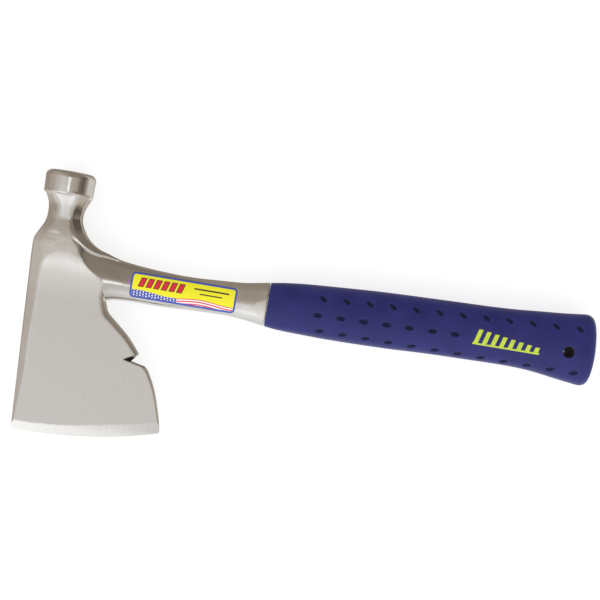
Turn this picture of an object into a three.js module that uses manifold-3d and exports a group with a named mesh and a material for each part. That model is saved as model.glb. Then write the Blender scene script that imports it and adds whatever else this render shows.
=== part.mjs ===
// Roofing hatchet: one steel forging, a moulded grip, a shank label and two printed grip marks.
// Millimetres. While it is modelled, X = 0 is the poll axis and runs down the handle to the butt,
// Y = 0 is the handle axis and runs up to the striking face, and Z = 0 is the mid-plane.
// At the end the group is moved so that its origin is at the bottom centre of the whole hatchet,
// which lies on its side.
import * as THREE from 'three';
import { mergeVertices } from 'three/addons/utils/BufferGeometryUtils.js';
import Module from 'manifold-3d';

// Poll
const POLL_FACE_Y = 57.7;
const POLL_FACE_RADIUS = 12;
const POLL_RADIUS = 14.7;
const POLL_CHAMFER = 2.2;
const POLL_BASE_Y = 44.5;
const POLL_BASE_RADIUS = 14.3;
const POLL_SIDES = 64;

// Neck: an eight-sided bar between the poll and the head
const NECK_TOP_Y = 41;
const NECK_HALF_THICKNESS = 9.9;
const NECK_FACET_HALF_WIDTH = 5;

// Head
const CUTTING_EDGE_RADIUS = 275;
const CUTTING_EDGE_CENTRE = new THREE.Vector2(-2, 179.2);
const EDGE_HALF_THICKNESS = 0.2;
const BEVEL_WIDTH = 5.5;
const BEVEL_SLOPE = 0.3;
const CHEEK_HALF_THICKNESS_AT_BEVEL = 1.9;
const CHEEK_BEVEL_Y = -90;
const CHEEK_SLOPE = 0.072;
const CHEEK_TOP_Y = 21;
const FRONT_EDGE_ROUNDING = 0.47;

// Shank and tang
const GRIP_MOUTH_X = 125.2;
const TANG_END_X = 288;
const TANG_HALF_HEIGHT = 6;
const TANG_HALF_THICKNESS = 3;
const TANG_TAPER = 0.75;
const KEY_HOLE_X = 276;
const KEY_HOLE_RADIUS = 3.5;

// Grip
const GRIP_END_X = 317.6;
const HANG_HOLE_X = 301.7;
const HANG_HOLE_Y = 1.75;
const HANG_HOLE_RADIUS = 3.3;
const END_ROUNDING = 5;

// Label and marks
const LABEL_START_X = 45.2;
const LABEL_END_X = 107.3;
const LABEL_BOTTOM_Y = -8.4;
const LABEL_TOP_Y = 6.4;
const LABEL_CORNER = 2.5;
const SKIN_THICKNESS = 0.25;
const MARK_START_X = 246;
const MARK_BAR_PITCH = 5;
const MARK_BAR_WIDTH = 2.6;
const MARK_BARS = 8;
const MARK_SLANT = 2.2;
const MARK_BASE_Y = -2.6;
const MARK_STRIPE_HEIGHT = 1;
const MARK_TALLEST = 8;
const MARK_SHORTEST = 3;

// Gap between pieces that touch
const GAP = 0.3;

const wasm = await Module();
wasm.setup();

// A smooth function through the points [x, value], with flat-free cubic pieces.
function through(points) {
  const slopes = points.map((point, i) => {
    const before = points[Math.max(i - 1, 0)];
    const after = points[Math.min(i + 1, points.length - 1)];
    return (after[1] - before[1]) / (after[0] - before[0]);
  });
  return (x) => {
    let i = 0;
    while (i < points.length - 2 && x > points[i + 1][0]) {
      i += 1;
    }
    const [x0, value0] = points[i];
    const [x1, value1] = points[i + 1];
    const width = x1 - x0;
    const t = THREE.MathUtils.clamp((x - x0) / width, 0, 1);
    const rise = value0 * (1 + 2 * t) * (1 - t) ** 2 + value1 * t * t * (3 - 2 * t);
    const lean = width * t * (1 - t) * (slopes[i] * (1 - t) - slopes[i + 1] * t);
    return rise + lean;
  };
}

// Side outline and half thickness of the forged shank, along X
const shankTop = through([
  [2, 25], [11.8, 26.5], [16.3, 20.1], [21, 16.7], [27.9, 14.2], [35.8, 11.8], [48.2, 10.1], [63, 9],
  [80, 8.6], [98.7, 9.6], [110, 10.4], [118, 11.7], [125.2, 13],
]);
const shankBottom = through([
  [2, -24], [24, -18], [36, -12.2], [45, -11.5], [66, -11.3], [85, -10.5], [102, -10.3], [114, -11.2],
  [125.2, -12.7],
]);
const shankHalfThickness = through([
  [2, 9.8], [14, 9.4], [24, 8.2], [36, 6.9], [55, 6.3], [90, 6.3], [108, 6.9], [118, 8], [125.2, 8.9],
]);

// Side outline and half thickness of the grip, along X
const gripTop = through([
  [125.2, 13], [133.5, 14.3], [145, 15.6], [168, 17.2], [192, 18.6], [227, 19.8], [263, 21],
  [286, 22.8], [300, 24], [317.6, 26.2],
]);
const gripBottom = through([
  [125.2, -12.7], [133, -13.6], [150, -14.2], [168, -14.4], [197, -13.9], [221, -12.9], [245, -12.4],
  [268, -12.1], [283, -12.8], [300, -15.1], [317.6, -17.3],
]);
const gripHalfThickness = through([
  [125.2, 8.9], [138, 11.2], [155, 12.6], [175, 13], [215, 12.7], [250, 12.3], [275, 12.8],
  [298, 13.9], [317.6, 14.2],
]);
// Where the butt ends, from the bottom corner round to the top corner, as a function of Y
const buttEndX = (y) => GRIP_END_X - 0.5 * ((y - 2) / 12) ** 2 - 0.6 * Math.max(y - 2, 0) / 22;

// A closed body from rings of points, each ring closed on itself, with flat caps.
function loft(rings) {
  const sides = rings[0].length;
  const geometry = new THREE.CylinderGeometry(1, 1, 1, sides, rings.length - 1);
  const position = geometry.attributes.position;
  for (let i = 0; i < position.count; i += 1) {
    const ring = rings[Math.round((0.5 - position.getY(i)) * (rings.length - 1))];
    const turn = Math.atan2(position.getX(i), position.getZ(i)) / (2 * Math.PI);
    const point = ring[(Math.round(turn * sides) + sides) % sides];
    if (Math.hypot(position.getX(i), position.getZ(i)) > 0.5) {
      position.setXYZ(i, point.x, point.y, point.z);
    } else {
      const middle = new THREE.Vector3();
      ring.forEach((corner) => middle.addScaledVector(corner, 1 / sides));
      position.setXYZ(i, middle.x, middle.y, middle.z);
    }
  }
  return geometry;
}

// One oval ring across the handle at x. A roundness of 2 is an ellipse and more is squarer.
function ovalRing(x, top, bottom, halfThickness, roundness, sides) {
  const ring = [];
  const shape = (value) => Math.sign(value) * Math.abs(value) ** (2 / roundness);
  for (let i = 0; i < sides; i += 1) {
    const angle = (2 * Math.PI * i) / sides;
    const y = (top + bottom) / 2 + ((top - bottom) / 2) * shape(Math.sin(angle));
    ring.push(new THREE.Vector3(x, y, halfThickness * shape(Math.cos(angle))));
  }
  return ring;
}

// Evenly spaced numbers from first to last.
function spaced(first, last, count) {
  return Array.from({ length: count }, (_, i) => THREE.MathUtils.lerp(first, last, i / (count - 1)));
}

// Turns a closed geometry into a solid that can be cut and joined.
function solid(geometry) {
  const bare = geometry.index ? geometry.clone() : geometry;
  bare.deleteAttribute('normal');
  bare.deleteAttribute('uv');
  const merged = mergeVertices(bare, 1e-4);
  return new wasm.Manifold(new wasm.Mesh({
    numProp: 3,
    vertProperties: new Float32Array(merged.attributes.position.array),
    triVerts: new Uint32Array(merged.index.array),
  }));
}

// A plate of the given outline, from z = low to z = high.
function plate(shape, low, high, curveSegments = 12) {
  const geometry = new THREE.ExtrudeGeometry(shape, {
    depth: high - low, bevelEnabled: false, curveSegments,
  });
  geometry.translate(0, 0, low);
  return solid(geometry);
}

// A round bar along Z.
function roundBar(x, y, radius, low, high) {
  const geometry = new THREE.CylinderGeometry(radius, radius, high - low, 40);
  geometry.rotateX(Math.PI / 2);
  geometry.translate(x, y, (high + low) / 2);
  return solid(geometry);
}

function outline(points) {
  return new THREE.Shape(points.map(([x, y]) => new THREE.Vector2(x, y)));
}

const cheekHalfThickness = (y) => CHEEK_HALF_THICKNESS_AT_BEVEL + CHEEK_SLOPE * (y - CHEEK_BEVEL_Y);

// Poll: the round hammer face with its chamfer, and the cone that steps down to the neck.
function makePoll() {
  const profile = [
    [0, NECK_TOP_Y - 5], [10.4, NECK_TOP_Y - 5], [11.4, NECK_TOP_Y], [POLL_BASE_RADIUS, POLL_BASE_Y],
    [POLL_RADIUS, POLL_FACE_Y - POLL_CHAMFER], [POLL_FACE_RADIUS, POLL_FACE_Y], [0, POLL_FACE_Y],
  ];
  return solid(new THREE.LatheGeometry(profile.map(([r, y]) => new THREE.Vector2(r, y)), POLL_SIDES));
}

// Neck: an octagon that spreads into the head at its lower end.
function makeNeck() {
  const leftX = through([[8, -15], [17.6, -14.8], [26.2, -10.7], [30, -9.8], [35, -9.8], [41, -11]]);
  const rightX = through([[8, 15], [20.1, 15.2], [23.3, 13.6], [26.5, 11.7], [30.3, 10.2], [33.3, 10.2],
    [41, 11.6]]);
  const rings = spaced(NECK_TOP_Y, 8, 12).map((y) => {
    const left = leftX(y);
    const right = rightX(y);
    const cut = 0.45;
    const corners = [
      [NECK_FACET_HALF_WIDTH, 1], [right, cut], [right, -cut], [NECK_FACET_HALF_WIDTH, -1],
      [-NECK_FACET_HALF_WIDTH, -1], [left, -cut], [left, cut], [-NECK_FACET_HALF_WIDTH, 1],
    ];
    return corners.map(([x, part]) => new THREE.Vector3(x, y, part * NECK_HALF_THICKNESS));
  });
  return solid(loft(rings));
}

// Shank: the polished oval bar from inside the head to the grip.
function makeShank(extra = 0, sides = 32) {
  const stations = [2, 8, 13, 17, 21, 25, 30, 36, 43, 52, 64, 78, 92, 102, 110, 117, GRIP_MOUTH_X];
  const rings = stations.map((x) => ovalRing(
    x,
    shankTop(x) + extra,
    shankBottom(x) - extra,
    shankHalfThickness(x) + extra,
    2.3,
    sides,
  ));
  return solid(loft(rings));
}

// Tang: the tapered bar that runs on inside the grip, grown by extra on every side.
function makeTang(extra = 0) {
  const rings = [GRIP_MOUTH_X - 2, GRIP_MOUTH_X + 12, TANG_END_X + extra].map((x) => {
    const part = (x - GRIP_MOUTH_X) / (TANG_END_X - GRIP_MOUTH_X);
    const size = THREE.MathUtils.lerp(1, TANG_TAPER, part);
    const middle = (gripTop(x) + gripBottom(x)) / 2;
    const halfHeight = TANG_HALF_HEIGHT * size + extra;
    return ovalRing(x, middle + halfHeight, middle - halfHeight, TANG_HALF_THICKNESS + extra, 5, 16);
  });
  const middle = (gripTop(KEY_HOLE_X) + gripBottom(KEY_HOLE_X)) / 2;
  return solid(loft(rings)).subtract(roundBar(KEY_HOLE_X, middle, KEY_HOLE_RADIUS - extra, -10, 10));
}

// Blade: a wedge with a rounded front edge, cut to the side outline and ground to the cutting edge.
function makeBlade() {
  const frontX = through([[-100, -10.6], [-47, -12.9], [-4, -14.7], [14.8, -15.3], [22, -15]]);
  const rearX = 90;
  const wedge = solid(loft(spaced(CHEEK_TOP_Y, -100, 9).map((y) => {
    const thick = Math.max(cheekHalfThickness(y), 1);
    const front = frontX(y);
    const ring = [[rearX, -thick], [rearX, thick]];
    for (const turn of spaced(0, Math.PI, 9)) {
      const depth = 2 * FRONT_EDGE_ROUNDING * thick * (1 - Math.sin(turn));
      ring.push([front + depth, thick * Math.cos(turn)]);
    }
    return ring.reverse().map(([x, z]) => new THREE.Vector3(x, y, z));
  })));

  const side = new THREE.Shape();
  side.moveTo(-20, -100);
  side.lineTo(80, -100);
  side.lineTo(75.4, -83.5);
  side.splineThru([[72.9, -74.2], [68.2, -60.4], [62.5, -49.7], [60.7, -47.9]].map(toPoint));
  side.lineTo(55.8, -41.2);
  side.splineThru([[48.3, -32.4], [40.3, -25.4], [34.2, -20.4], [32.2, -16.4], [33, -13.6]].map(toPoint));
  side.lineTo(30, -10);
  side.lineTo(25.5, -2.5);
  side.lineTo(17.5, 5);
  side.lineTo(6.5, 18.6);
  side.lineTo(-1, 20.8);
  side.lineTo(-13, 18.9);
  side.lineTo(-20, 14);
  side.closePath();

  // Ground cutting edge: two wide shallow cones, base to base.
  const reach = 60;
  const profile = [
    [0, -EDGE_HALF_THICKNESS - BEVEL_SLOPE * reach],
    [CUTTING_EDGE_RADIUS - reach, -EDGE_HALF_THICKNESS - BEVEL_SLOPE * reach],
    [CUTTING_EDGE_RADIUS, -EDGE_HALF_THICKNESS],
    [CUTTING_EDGE_RADIUS, EDGE_HALF_THICKNESS],
    [CUTTING_EDGE_RADIUS - reach, EDGE_HALF_THICKNESS + BEVEL_SLOPE * reach],
    [0, EDGE_HALF_THICKNESS + BEVEL_SLOPE * reach],
  ];
  const cone = new THREE.LatheGeometry(profile.map(toPoint), 360);
  cone.rotateX(Math.PI / 2);
  cone.translate(CUTTING_EDGE_CENTRE.x, CUTTING_EDGE_CENTRE.y, 0);

  return wedge.intersect(plate(side, -15, 15, 5)).intersect(solid(cone)).subtract(makeNailNotch());
}

function toPoint([x, y]) {
  return new THREE.Vector2(x, y);
}

// Nail notch: a V through the rear edge, wider at both cheeks than at the mid-plane.
function makeNailNotch() {
  const atCheek = [[46.8, -46.1], [64.7, -48.3], [60.8, -38.5]];
  const atMiddle = [[52.1, -45.9], [64.7, -48.4], [60.8, -34.8]];
  const rings = [[8, atCheek], [5, atCheek], [0.4, atMiddle], [-0.4, atMiddle], [-5, atCheek], [-8, atCheek]];
  return solid(loft(rings.map(([z, corners]) => corners.map(([x, y]) => new THREE.Vector3(x, y, z)))));
}

function makeForging() {
  return makePoll().add(makeNeck()).add(makeBlade()).add(makeShank()).add(makeTang());
}

// Grip: the moulded sleeve over the tang, grown by extra for the printed marks.
function gripBody(extra = 0) {
  const stations = [
    GRIP_MOUTH_X + GAP, 129, 134, 140, 148, 157, 168, 182, 200, 220, 240, 258, 272, 284, 294, 303, 309,
  ];
  const rings = stations.map((x) => ovalRing(
    x,
    gripTop(x) + extra,
    gripBottom(x) - extra,
    gripHalfThickness(x) + extra,
    2.35,
    40,
  ));
  // Rounded butt: the last rings draw in along a quarter circle and follow the domed end.
  for (const turn of spaced(0.1, Math.PI / 2, 6)) {
    const inset = END_ROUNDING * (1 - Math.cos(turn));
    const along = GRIP_END_X - END_ROUNDING + END_ROUNDING * Math.sin(turn);
    const part = (y) => buttEndX(y) - GRIP_END_X;
    const ring = ovalRing(
      along,
      gripTop(along) - inset + extra,
      gripBottom(along) + inset - extra,
      gripHalfThickness(along) - inset + extra,
      2.35,
      40,
    );
    ring.forEach((corner) => {
      corner.x += part(corner.y) * Math.sin(turn);
    });
    rings.push(ring);
  }
  return solid(loft(rings));
}

function makeGrip() {
  const hangHole = roundBar(HANG_HOLE_X, HANG_HOLE_Y, HANG_HOLE_RADIUS, -20, 20);
  return gripBody().subtract(makeTang(GAP)).subtract(hangHole);
}

// Label: a thin printed vinyl patch with round corners, wrapped over the shank's front.
function makeLabel() {
  const shape = new THREE.Shape();
  const c = LABEL_CORNER;
  shape.moveTo(LABEL_START_X + c, LABEL_BOTTOM_Y);
  shape.lineTo(LABEL_END_X - c, LABEL_BOTTOM_Y);
  shape.absarc(LABEL_END_X - c, LABEL_BOTTOM_Y + c, c, -Math.PI / 2, 0);
  shape.absarc(LABEL_END_X - c, LABEL_TOP_Y - c, c, 0, Math.PI / 2);
  shape.absarc(LABEL_START_X + c, LABEL_TOP_Y - c, c, Math.PI / 2, Math.PI);
  shape.absarc(LABEL_START_X + c, LABEL_BOTTOM_Y + c, c, Math.PI, 1.5 * Math.PI);
  const skin = makeShank(GAP + SKIN_THICKNESS).subtract(makeShank(GAP));
  return skin.intersect(plate(shape, 0, 20, 4));
}

// Printed mark: a row of slanted bars that grow shorter, standing on one thin stripe.
function makeMark(front) {
  const stripeTop = MARK_BASE_Y + MARK_STRIPE_HEIGHT;
  const points = [[MARK_START_X, MARK_BASE_Y]];
  points.push([MARK_START_X + MARK_BARS * MARK_BAR_PITCH - 1, MARK_BASE_Y]);
  for (let bar = MARK_BARS - 1; bar >= 0; bar -= 1) {
    const left = MARK_START_X + bar * MARK_BAR_PITCH + 0.5;
    const right = left + MARK_BAR_WIDTH;
    const part = bar / (MARK_BARS - 1);
    const height = THREE.MathUtils.lerp(MARK_TALLEST, MARK_SHORTEST, part);
    const lean = (MARK_SLANT * height) / MARK_TALLEST;
    points.push([right, stripeTop], [right + lean, stripeTop + height], [left + lean, stripeTop + height]);
    points.push([left, stripeTop]);
  }
  points.push([MARK_START_X, stripeTop]);
  const skin = gripBody(GAP + SKIN_THICKNESS).subtract(gripBody(GAP));
  return skin.intersect(front ? plate(outline(points), 0, 20) : plate(outline(points), -20, 0));
}

const hatchet = new THREE.Group();

function addPiece(name, body, color, roughness, metalness) {
  const mesh = body.getMesh();
  const geometry = new THREE.BufferGeometry();
  geometry.setAttribute('position', new THREE.BufferAttribute(mesh.vertProperties, 3));
  geometry.setIndex(new THREE.BufferAttribute(mesh.triVerts, 1));
  geometry.computeVertexNormals();
  const piece = new THREE.Mesh(geometry, new THREE.MeshStandardMaterial({ color, roughness, metalness }));
  piece.name = name;
  hatchet.add(piece);
}

addPiece('forged_steel', makeForging(), '#c3bfb9', 0.28, 1);
addPiece('grip', makeGrip(), '#34308c', 0.5, 0);
addPiece('shank_label', makeLabel(), '#f2ea1c', 0.35, 0);
addPiece('grip_mark_front', makeMark(true), '#c5d52a', 0.5, 0);
addPiece('grip_mark_back', makeMark(false), '#c5d52a', 0.5, 0);

const box = new THREE.Box3().setFromObject(hatchet);
const middle = box.getCenter(new THREE.Vector3());
hatchet.position.set(-middle.x, -middle.y, -box.min.z);
hatchet.updateMatrixWorld(true);

export default hatchet;
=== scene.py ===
"""A roofing hatchet lying on a pale floor, seen from above.

Shapes are worked out in millimetres in the design frame: x = 0 on the poll's axis and growing down
the handle to the butt, y = 0 on the handle's axis and growing to the striking face, z = 0 on the
mid-plane. The steel and the grip are fields, functions of a place that are negative inside the
piece, and surface_mesh() turns a field into a mesh.
"""

import math

import bpy
import numpy as np
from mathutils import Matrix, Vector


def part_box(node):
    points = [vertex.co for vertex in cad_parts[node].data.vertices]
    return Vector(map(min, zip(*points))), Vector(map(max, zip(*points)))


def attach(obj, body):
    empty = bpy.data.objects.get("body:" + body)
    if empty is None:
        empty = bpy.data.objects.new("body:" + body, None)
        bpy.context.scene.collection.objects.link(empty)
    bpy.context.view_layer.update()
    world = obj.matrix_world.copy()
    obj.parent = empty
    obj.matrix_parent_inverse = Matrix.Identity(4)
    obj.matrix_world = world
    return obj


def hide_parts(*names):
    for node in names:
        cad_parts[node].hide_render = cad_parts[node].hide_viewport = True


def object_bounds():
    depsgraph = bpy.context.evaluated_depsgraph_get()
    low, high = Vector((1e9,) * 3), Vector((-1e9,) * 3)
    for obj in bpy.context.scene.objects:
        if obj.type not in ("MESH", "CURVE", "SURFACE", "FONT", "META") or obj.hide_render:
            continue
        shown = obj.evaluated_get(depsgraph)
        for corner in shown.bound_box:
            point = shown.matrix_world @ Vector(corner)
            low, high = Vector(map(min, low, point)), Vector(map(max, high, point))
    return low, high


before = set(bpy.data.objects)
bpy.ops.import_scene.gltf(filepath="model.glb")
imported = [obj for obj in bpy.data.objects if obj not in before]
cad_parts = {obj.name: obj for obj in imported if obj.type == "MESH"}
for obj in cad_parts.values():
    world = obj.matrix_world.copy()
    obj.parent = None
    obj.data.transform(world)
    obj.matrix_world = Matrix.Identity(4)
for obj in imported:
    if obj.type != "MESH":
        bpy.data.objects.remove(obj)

cad_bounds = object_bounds()

# Driving dimensions, in mm
POLL_FACE_Y = 57.7
POLL_RADIUS = 14.7
GRIP_MOUTH_X = 125.2
GRIP_END_X = 317.6

# One millimetre in metres, and a number that keeps divisions away from zero
MM = 0.001
TINY = 1e-9

# The design frame's zero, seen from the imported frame, in mm
grip_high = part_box("grip")[1]
poll_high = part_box("forged_steel")[1]
SHIFT = np.array([
    grip_high[0] / MM - GRIP_END_X,
    poll_high[1] / MM - POLL_FACE_Y,
    (cad_bounds[0][2] + cad_bounds[1][2]) / 2 / MM,
])


# ---------------------------------------------------------------- curves and fields

def through(*points):
    """A smooth function through the points (place, value)."""
    place = np.array([p[0] for p in points], float)
    value = np.array([p[1] for p in points], float)
    ahead = np.minimum(np.arange(len(place)) + 1, len(place) - 1)
    behind = np.maximum(np.arange(len(place)) - 1, 0)
    slope = (value[ahead] - value[behind]) / (place[ahead] - place[behind])

    def curve(at):
        at = np.asarray(at, float)
        i = np.clip(np.searchsorted(place, at, side="right") - 1, 0, len(place) - 2)
        width = place[i + 1] - place[i]
        t = np.clip((at - place[i]) / width, 0, 1)
        rise = value[i] * (1 + 2 * t) * (1 - t) ** 2 + value[i + 1] * t * t * (3 - 2 * t)
        return rise + width * t * (1 - t) * (slope[i] * (1 - t) - slope[i + 1] * t)

    return curve


def lean(curve, at, step=0.05):
    """Length of the curve per unit of its place, which turns an offset into a distance."""
    slope = (curve(at + step) - curve(at - step)) / (2 * step)
    return np.sqrt(1 + slope * slope)


def both(a, b, blend=0.0):
    """The space inside both fields, with the edge between them rounded over the blend length."""
    if np.isscalar(blend) and blend == 0:
        return np.maximum(a, b)
    near = np.maximum(blend - np.abs(a - b), 0) / blend
    return np.maximum(a, b) + near * near * blend / 4


def either(a, b, blend=0.0):
    """The space inside one or the other field, with a fillet over the blend length."""
    return -both(-a, -b, blend)


def oval(y, z, top, bottom, half_thickness, roundness):
    """Distance to an oval in the y-z plane. A roundness of 2 is an ellipse, and more is squarer."""
    half_height = (top - bottom) / 2
    tall = np.abs(y - (top + bottom) / 2) / half_height + TINY
    thick = np.abs(z) / half_thickness + TINY
    reach = (tall ** roundness + thick ** roundness) ** (1 / roundness)
    steep_y = (tall / reach) ** (roundness - 1) / half_height
    steep_z = (thick / reach) ** (roundness - 1) / half_thickness
    return (reach - 1) / np.sqrt(steep_y ** 2 + steep_z ** 2)


def sample(field, at, chunk=60000):
    """The field's values at the places (n, 3), worked out in chunks to save memory."""
    values = np.empty(len(at))
    for start in range(0, len(at), chunk):
        x, y, z = at[start:start + chunk].T
        values[start:start + chunk] = field(x, y, z)
    return values


def unit(vectors):
    """The vectors (n, 3) at length 1."""
    return vectors / np.maximum(np.linalg.norm(vectors, axis=1, keepdims=True), TINY)


def gradient(field, at, step=0.01):
    """Unit direction in which the field grows, at each of the places (n, 3)."""
    found = np.empty_like(at)
    for axis in range(3):
        shift = np.zeros(3)
        shift[axis] = step
        found[:, axis] = (sample(field, at + shift) - sample(field, at - shift)) / (2 * step)
    return unit(found)


def surface_height(field, x, y, start):
    """Height z above the mid-plane where the field is 0, searched from 0 up to start."""
    low, high = np.zeros_like(x), np.full_like(x, float(start))
    for _ in range(40):
        z = (low + high) / 2
        within = field(x, y, z) < 0
        low, high = np.where(within, z, low), np.where(within, high, z)
    return (low + high) / 2


# ---------------------------------------------------------------- field to mesh

# Weight of the middle of a cell's crossings against their tangent planes, which steadies flat cells
MIDDLE_PULL = 0.03

# Share of the way from a corner to its face's middle where its direction is sensed, and the angle
# between directions that makes a sharp edge
SENSE_INSET = 0.35
CREASE_ANGLE = math.radians(14)


def grid_values(field, xs, ys, zs, slab=16):
    """The field at every grid point, worked out in slabs to save memory."""
    slabs = []
    for start in range(0, len(xs), slab):
        part = xs[start:start + slab]
        value = field(part[:, None, None], ys[None, :, None], zs[None, None, :])
        slabs.append(np.broadcast_to(value, (len(part), len(ys), len(zs))).astype(np.float32))
    return np.concatenate(slabs)


def crossings_along(axis, field, axes, value):
    """Places where the surface crosses the grid's edges along one axis, and where those edges start."""
    near = [slice(None)] * 3
    far = [slice(None)] * 3
    near[axis], far[axis] = slice(None, -1), slice(1, None)
    start = np.argwhere((value[tuple(near)] < 0) != (value[tuple(far)] < 0))
    end = start.copy()
    end[:, axis] += 1
    first = value[tuple(start.T)].astype(float)
    last = value[tuple(end.T)].astype(float)
    place = np.stack([axes[k][start[:, k]] for k in range(3)], axis=1)
    origin = place[:, axis].copy()
    length = axes[axis][end[:, axis]] - origin
    low, high = np.zeros(len(start)), np.ones(len(start))
    t = first / (first - last)
    for _ in range(3):
        place[:, axis] = origin + t * length
        here = sample(field, place)
        same_side = (here < 0) == (first < 0)
        low, high = np.where(same_side, t, low), np.where(same_side, high, t)
        first, last = np.where(same_side, here, first), np.where(same_side, last, here)
        t = low + (high - low) * np.clip(first / (first - last), 0.02, 0.98)
    place[:, axis] = origin + t * length
    return place, start


def cells_round(start, axis, strides):
    """Numbers of the four cells round each grid edge, in order."""
    side_1, side_2 = (axis + 1) % 3, (axis + 2) % 3
    around = []
    for back_1, back_2 in ((0, 0), (1, 0), (1, 1), (0, 1)):
        cell = start.copy()
        cell[:, side_1] -= back_1
        cell[:, side_2] -= back_2
        around.append(cell @ strides)
    return np.stack(around, axis=1)


def meeting_places(place, normal, index, cell_count):
    """For each cell, the place where the tangent planes at its crossings meet."""

    def total(numbers):
        return np.bincount(index, numbers, cell_count)

    count = total(np.ones(len(index)))
    middle = np.stack([total(place[:, k]) / count for k in range(3)], axis=1)
    offset = np.einsum("ij,ij->i", normal, place - middle[index])
    square = np.empty((cell_count, 3, 3))
    for a in range(3):
        for b in range(3):
            square[:, a, b] = total(normal[:, a] * normal[:, b])
    square += MIDDLE_PULL * np.eye(3)
    pull = np.stack([total(normal[:, k] * offset) for k in range(3)], axis=1)
    return middle + np.linalg.solve(square, pull[:, :, None])[:, :, 0]


def surface_mesh(field, xs, ys, zs):
    """Corners (n, 3) and four-sided faces of the field's surface, found cell by cell.

    Each cell that the surface crosses gets one corner, put where the surface's tangent planes at
    the cell's crossed edges meet, so that flat faces stay flat and their edges stay sharp.
    """
    axes = [xs, ys, zs]
    value = grid_values(field, xs, ys, zs)
    strides = np.array([len(ys) * len(zs), len(zs), 1])
    crossings, normals, cells, flips = [], [], [], []
    for axis in range(3):
        place, start = crossings_along(axis, field, axes, value)
        crossings.append(place)
        normals.append(gradient(field, place))
        cells.append(cells_round(start, axis, strides))
        flips.append(value[tuple(start.T)] < 0)

    used, index = np.unique(np.concatenate(cells).ravel(), return_inverse=True)
    index = index.ravel()
    place = np.repeat(np.concatenate(crossings), 4, axis=0)
    normal = np.repeat(np.concatenate(normals), 4, axis=0)
    corner = meeting_places(place, normal, index, len(used))
    cell = np.stack(np.unravel_index(used, value.shape), axis=1)
    for k in range(3):
        low = axes[k][cell[:, k]]
        high = axes[k][np.minimum(cell[:, k] + 1, len(axes[k]) - 1)]
        corner[:, k] = np.clip(corner[:, k], low, high)

    faces = index.reshape(-1, 4)
    flips = np.concatenate(flips)
    faces[flips] = faces[flips][:, ::-1]
    return corner, faces[:, ::-1]


def spread(stops):
    """Grid lines that run through the stops (place, spacing from there on)."""
    lines = []
    for (start, step), (end, _) in zip(stops, stops[1:]):
        count = max(1, round((end - start) / step))
        lines.append(np.linspace(start, end, count, endpoint=False))
    return np.concatenate([*lines, [stops[-1][0]]])


def corner_normals(field, corner, faces):
    """One direction per face corner, shared where the surface is smooth and split at its edges."""
    middle = corner[faces].mean(axis=1)
    inward = (1 - SENSE_INSET) * corner[faces] + SENSE_INSET * middle[:, None, :]
    own = gradient(field, inward.reshape(-1, 3))
    index = faces.ravel()
    shared = unit(np.stack([np.bincount(index, own[:, k], len(corner)) for k in range(3)], axis=1))
    smooth = np.einsum("ij,ij->i", own, shared[index]) > math.cos(CREASE_ANGLE)
    return np.where(smooth[:, None], shared[index], own)


def make_piece(name, corner, faces, node, field=None):
    """A shown piece from design-frame corners, standing for a CAD node and riding on the root."""
    mesh = bpy.data.meshes.new(name)
    mesh.vertices.add(len(corner))
    mesh.vertices.foreach_set("co", ((corner + SHIFT) * MM).astype(np.float32).ravel())
    faces = np.asarray(faces, np.int32)
    mesh.loops.add(faces.size)
    mesh.loops.foreach_set("vertex_index", faces.ravel())
    mesh.polygons.add(len(faces))
    mesh.polygons.foreach_set("loop_start", np.arange(0, faces.size, faces.shape[1], dtype=np.int32))
    mesh.update(calc_edges=True)
    mesh.polygons.foreach_set("use_smooth", np.ones(len(faces), bool))
    if field is not None:
        mesh.normals_split_custom_set(corner_normals(field, corner, faces))
    piece = bpy.data.objects.new(name, mesh)
    bpy.context.scene.collection.objects.link(piece)
    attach(piece, "root")
    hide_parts(node)
    return piece


# ---------------------------------------------------------------- steel forging

# The cutting edge is an arc about a point far up the head
EDGE_CENTRE = (-2, 179.2)
EDGE_RADIUS = 275
EDGE_HALF_THICKNESS = 0.2
BLADE_TOP_Y = 28
REAR_TOP_Y = 26

# The ground cheek ends in an arch. Its crown is at this x, and it drops by bow * distance ** 2
ARCH_X = 4
ARCH_BOW = 0.03

# Behind the head the cheeks open out, so that they clear the shank
CLEAR_FROM_X = 50
CLEAR_ABOVE_Y = -30
CLEAR_SLOPE = 0.1

# The notch's tip on the mid-plane, its upper wall's rise to the mouth, and how much the tip runs
# forward and the wall rises more by the cheeks. The stretches turn rises into distances.
NOTCH_TIP = (52.1, -45.9)
NOTCH_MOUTH_X = 55.8
NOTCH_MOUTH_RISE = 4.7
NOTCH_CHEEK_Z = 5.2
NOTCH_CHEEK_RUN = 5.3
NOTCH_CHEEK_RISE = 0.2
NOTCH_LOWER_SLOPE = 0.22
NOTCH_UPPER_STRETCH = 1.35
NOTCH_LOWER_STRETCH = 1.02
NOTCH_MIDDLE_Y = -44.5

# The corner between neck and shank is measured round this centre
CORNER_CENTRE = (32, 36)
NECK_CHAMFER_SLOPE = 1.0
NECK_TOP_Y = 45
NECK_REAR_X = 36

SHANK_START_X = 4
SHANK_ROUNDNESS = 2.25
CROWN_DROP = 1.6

# The poll's shoulder is at this radius and y. A facing is a slope's direction outwards and along y.
POLL_BASE_Y = 42.5
POLL_SHOULDER = (14.3, 44.3)
POLL_SHOULDER_FACING = (0.3, 0.95)
POLL_CHAMFER_RADIUS = 12.1
POLL_CHAMFER_FACING = (0.64, 0.77)
POLL_TAPER = 0.035
POLL_WIDEST_Y = 55.5
POLL_CROWN = 0.3

TANG_START_X = 121
TANG_END_X = 288
TANG_HALF_HEIGHT = 6
TANG_HALF_THICKNESS = 3
TANG_TAPER = 0.25
KEY_HOLE_X = 276
KEY_HOLE_RADIUS = 3.5

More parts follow.
